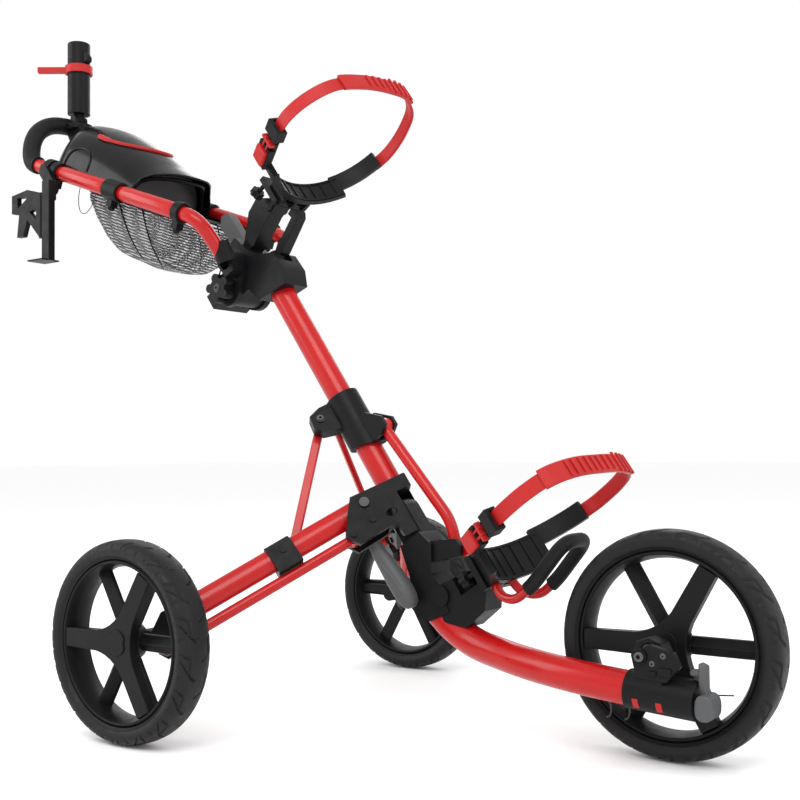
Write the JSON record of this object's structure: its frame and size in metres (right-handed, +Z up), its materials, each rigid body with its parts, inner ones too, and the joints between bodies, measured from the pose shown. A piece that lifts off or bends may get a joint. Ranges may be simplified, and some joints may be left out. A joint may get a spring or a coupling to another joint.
{
  "type": "golf push trolley",
  "caption": "Folding golf push trolley with bag cradles and straps, an adjustable handle, a lidded console, a net basket, an umbrella tube and a cup holder.",
  "frame": {"origin": "middle of the trolley's box at ground level, with the trolley unfolded on its wheels", "axes": "+X forward to the single front wheel, +Y to the trolley's left, +Z up"},
  "size_m": [1.4464, 0.762, 1.234],
  "materials": {
    "red_paint": "gloss red powder coat",
    "black_plastic": "fine-grained satin black",
    "gloss_black": "smooth semi-gloss black",
    "grey_plastic": "satin grey",
    "red_rubber": "soft matt red",
    "tyre_rubber": "matt dark grey tread",
    "foam": "closed-cell foam",
    "steel": "zinc-plated",
    "net": "woven mesh"
  },
  "bodies": {
    "frame": {"mast_tube": "red_paint", "hub_block": "black_plastic", "upper_bracket": "black_plastic", "fold_hinge_bolt": "steel", "right_leg_bolt": "steel", "left_leg_bolt": "steel", "handle_pin": "steel"},
    "boom": {"boom_casting": "black_plastic", "boom_tube": "red_paint", "nose_sleeve": "black_plastic", "axle_bracket": "black_plastic", "front_axle": "steel", "lower_saddle": "black_plastic", "lower_buckle": "black_plastic", "lower_strap": "red_rubber", "u_bar": "red_paint", "u_bar_grip": "foam"},
    "front_wheel": {"front_tyre": "tyre_rubber", "front_rim": "black_plastic"},
    "latch": {"latch_lever": "grey_plastic"},
    "nose_clip": {"nose_lever": "grey_plastic"},
    "lower_clamp_knob": {"lower_knob": "black_plastic"},
    "lower_release": {"lower_button": "red_rubber"},
    "collar": {"collar_sleeve": "black_plastic"},
    "push_rod": {"front_rod": "red_paint"},
    "handle": {"handle_head": "black_plastic", "right_handle_tube": "red_paint", "left_handle_tube": "red_paint", "handle_grip": "foam", "console_shell": "gloss_black", "net_basket": "net", "umbrella_socket": "black_plastic", "cup_clamp": "black_plastic"},
    "lid": {"console_lid": "gloss_black"},
    "umbrella_holder": {"umbrella_tube": "black_plastic"},
    "umbrella_lever": {"umbrella_clamp": "red_rubber"},
    "cup_arm": {"cup_spine": "black_plastic"},
    "cup_jaw": {"cup_wing": "black_plastic"},
    "height_lock": {"height_knob": "black_plastic"},
    "catch": {"release_catch": "grey_plastic"},
    "upper_lever": {"fold_lever": "black_plastic"},
    "upper_cradle": {"upper_saddle": "black_plastic", "upper_buckle": "black_plastic", "upper_strap": "red_rubber"},
    "upper_clamp_knob": {"upper_knob": "black_plastic"},
    "upper_release": {"upper_button": "red_rubber"},
    "right_strut_link": {"right_strut": "red_paint"},
    "right_leg": {"right_leg_tube": "red_paint", "right_leg_clamp": "black_plastic"},
    "right_rod_link": {"right_lower_rod": "red_paint"},
    "right_carrier": {"right_axle_carrier": "black_plastic"},
    "right_wheel": {"right_rear_tyre": "tyre_rubber", "right_rear_rim": "black_plastic"},
    "left_strut_link": {"left_strut": "red_paint"},
    "left_leg": {"left_leg_tube": "red_paint", "left_leg_clamp": "black_plastic"},
    "left_rod_link": {"left_lower_rod": "red_paint"},
    "left_carrier": {"left_axle_carrier": "black_plastic"},
    "left_wheel": {"left_rear_tyre": "tyre_rubber", "left_rear_rim": "black_plastic"}
  },
  "joints": [
    {"name": "boom_fold", "type": "hinge", "parent": "frame", "child": "boom", "pos_m": [0.13145, 0, 0.32174], "axis": [0, -1, 0], "range_deg": [0, 60]},
    {"name": "collar_slide", "type": "slide", "parent": "frame", "child": "collar", "axis": [-0.565, 0, 0.8251], "range_m": [0, 0.084]},
    {"name": "push_rod_swing", "type": "hinge", "parent": "collar", "child": "push_rod", "pos_m": [0.09122, 0, 0.4566], "axis": [0, -1, 0], "range_deg": [0, 15.3]},
    {"name": "right_leg_swing", "type": "hinge", "parent": "frame", "child": "right_leg", "pos_m": [0.08134, -0.04075, 0.32694], "axis": [-0.6005, 0.6858, -0.4112], "range_deg": [0, 34.2]},
    {"name": "right_rod_swing", "type": "hinge", "parent": "frame", "child": "right_rod_link", "pos_m": [0.08232, -0.06841, 0.27938], "axis": [-0.6005, 0.6858, -0.4112], "range_deg": [0, 34.2]},
    {"name": "right_strut_swing", "type": "hinge", "parent": "collar", "child": "right_strut_link", "pos_m": [-0.02226, -0.02027, 0.45526], "axis": [-0.6005, 0.6858, -0.4112], "range_deg": [-5.7, 0]},
    {"name": "right_carrier_swing", "type": "hinge", "parent": "right_leg", "child": "right_carrier", "pos_m": [-0.08226, -0.27398, 0.17686], "axis": [-0.6005, 0.6858, -0.4112], "range_deg": [-34.2, 0]},
    {"name": "right_wheel_spin", "type": "hinge", "parent": "right_carrier", "child": "right_wheel", "pos_m": [-0.1078, -0.353, 0.146], "axis": [0, 1, 0], "continuous": true},
    {"name": "left_leg_swing", "type": "hinge", "parent": "frame", "child": "left_leg", "pos_m": [0.08134, 0.04075, 0.32694], "axis": [0.6005, 0.6858, 0.4112], "range_deg": [0, 34.2]},
    {"name": "left_rod_swing", "type": "hinge", "parent": "frame", "child": "left_rod_link", "pos_m": [0.08232, 0.06841, 0.27938], "axis": [0.6005, 0.6858, 0.4112], "range_deg": [0, 34.2]},
    {"name": "left_strut_swing", "type": "hinge", "parent": "collar", "child": "left_strut_link", "pos_m": [-0.02226, 0.02027, 0.45526], "axis": [0.6005, 0.6858, 0.4112], "range_deg": [-5.7, 0]},
    {"name": "left_carrier_swing", "type": "hinge", "parent": "left_leg", "child": "left_carrier", "pos_m": [-0.08226, 0.27398, 0.17686], "axis": [0.6005, 0.6858, 0.4112], "range_deg": [-34.2, 0]},
    {"name": "left_wheel_spin", "type": "hinge", "parent": "left_carrier", "child": "left_wheel", "pos_m": [-0.1078, 0.353, 0.146], "axis": [0, 1, 0], "continuous": true},
    {"name": "front_wheel_spin", "type": "hinge", "parent": "boom", "child": "front_wheel", "pos_m": [0.5692, 0, 0.154], "axis": [0, 1, 0], "continuous": true},
    {"name": "latch_turn", "type": "hinge", "parent": "boom", "child": "latch", "pos_m": [0.17024, -0.044, 0.19075], "axis": [0, 1, 0], "range_deg": [-35, 0]},
    {"name": "nose_clip_turn", "type": "hinge", "parent": "boom", "child": "nose_clip", "pos_m": [0.6342, -0.065, 0.128], "axis": [0, -1, 0], "range_deg": [0, 15]},
    {"name": "lower_knob_turn", "type": "hinge", "parent": "boom", "child": "lower_clamp_knob", "pos_m": [0.26136, -0.027, 0.22406], "axis": [0.8251, 0, 0.565], "range_deg": [-180, 180]},
    {"name": "handle_angle", "type": "hinge", "parent": "frame", "child": "handle", "pos_m": [-0.21049, 0, 0.69723], "axis": [0, -1, 0], "range_deg": [-5, 75]},
    {"name": "height_knob_turn", "type": "hinge", "parent": "handle", "child": "height_lock", "pos_m": [-0.21049, -0.055, 0.69723], "axis": [0, 1, 0], "range_deg": [-180, 180]},
    {"name": "release_catch_turn", "type": "hinge", "parent": "frame", "child": "catch", "pos_m": [-0.21873, 0.018, 0.78006], "axis": [0, -1, 0], "range_deg": [0, 12]},
    {"name": "upper_lever_turn", "type": "hinge", "parent": "frame", "child": "upper_lever", "pos_m": [-0.11942, 0, 0.75716], "axis": [0, 1, 0], "range_deg": [0, 12]},
    {"name": "upper_cradle_tilt", "type": "hinge", "parent": "frame", "child": "upper_cradle", "pos_m": [-0.13343, 0, 0.83604], "axis": [0, -1, 0], "range_deg": [0, 25]},
    {"name": "upper_knob_turn", "type": "hinge", "parent": "upper_cradle", "child": "upper_clamp_knob", "pos_m": [-0.14534, -0.034, 0.85697], "axis": [0.8251, 0, 0.565], "range_deg": [-180, 180]},
    {"name": "console_lid_open", "type": "hinge", "parent": "handle", "child": "lid", "pos_m": [-0.58339, 0, 1.05408], "axis": [0, -1, 0], "range_deg": [0, 75]},
    {"name": "umbrella_tilt", "type": "hinge", "parent": "handle", "child": "umbrella_holder", "pos_m": [-0.6548, 0, 1.08], "axis": [0, 1, 0], "range_deg": [-8, 30]},
    {"name": "umbrella_lever_turn", "type": "hinge", "parent": "umbrella_holder", "child": "umbrella_lever", "pos_m": [-0.6548, 0, 1.18], "axis": [0, 0, 1], "range_deg": [0, 60]},
    {"name": "cup_arm_tilt", "type": "hinge", "parent": "handle", "child": "cup_arm", "pos_m": [-0.5538, -0.146, 0.902], "axis": [0, -1, 0], "range_deg": [-20, 60]},
    {"name": "cup_jaw_turn", "type": "hinge", "parent": "cup_arm", "child": "cup_jaw", "pos_m": [-0.5708, -0.152, 0.86], "axis": [0, 0, 1], "range_deg": [0, 75]},
    {"name": "lower_button_press", "type": "slide", "parent": "boom", "child": "lower_release", "axis": [0.3924, 0.8797, 0.2687], "range_m": [0, 0.0025], "stiffness_N_per_m": 300, "springref_m": -0.001},
    {"name": "upper_button_press", "type": "slide", "parent": "upper_cradle", "child": "upper_release", "axis": [0.3445, 0.9087, 0.2359], "range_m": [0, 0.0025], "stiffness_N_per_m": 300, "springref_m": -0.001}
  ],
  "couplings": [
    {"joint": "collar_slide", "follows": "boom_fold", "m_per_rad": 0.08009},
    {"joint": "push_rod_swing", "follows": "boom_fold", "ratio": 0.25346},
    {"joint": "right_leg_swing", "follows": "boom_fold", "ratio": 0.56752},
    {"joint": "right_rod_swing", "follows": "boom_fold", "ratio": 0.56752},
    {"joint": "right_strut_swing", "follows": "boom_fold", "ratio": -0.09299},
    {"joint": "right_carrier_swing", "follows": "boom_fold", "ratio": -0.56752},
    {"joint": "left_leg_swing", "follows": "boom_fold", "ratio": 0.56752},
    {"joint": "left_rod_swing", "follows": "boom_fold", "ratio": 0.56752},
    {"joint": "left_strut_swing", "follows": "boom_fold", "ratio": -0.09299},
    {"joint": "left_carrier_swing", "follows": "boom_fold", "ratio": -0.56752}
  ]
}
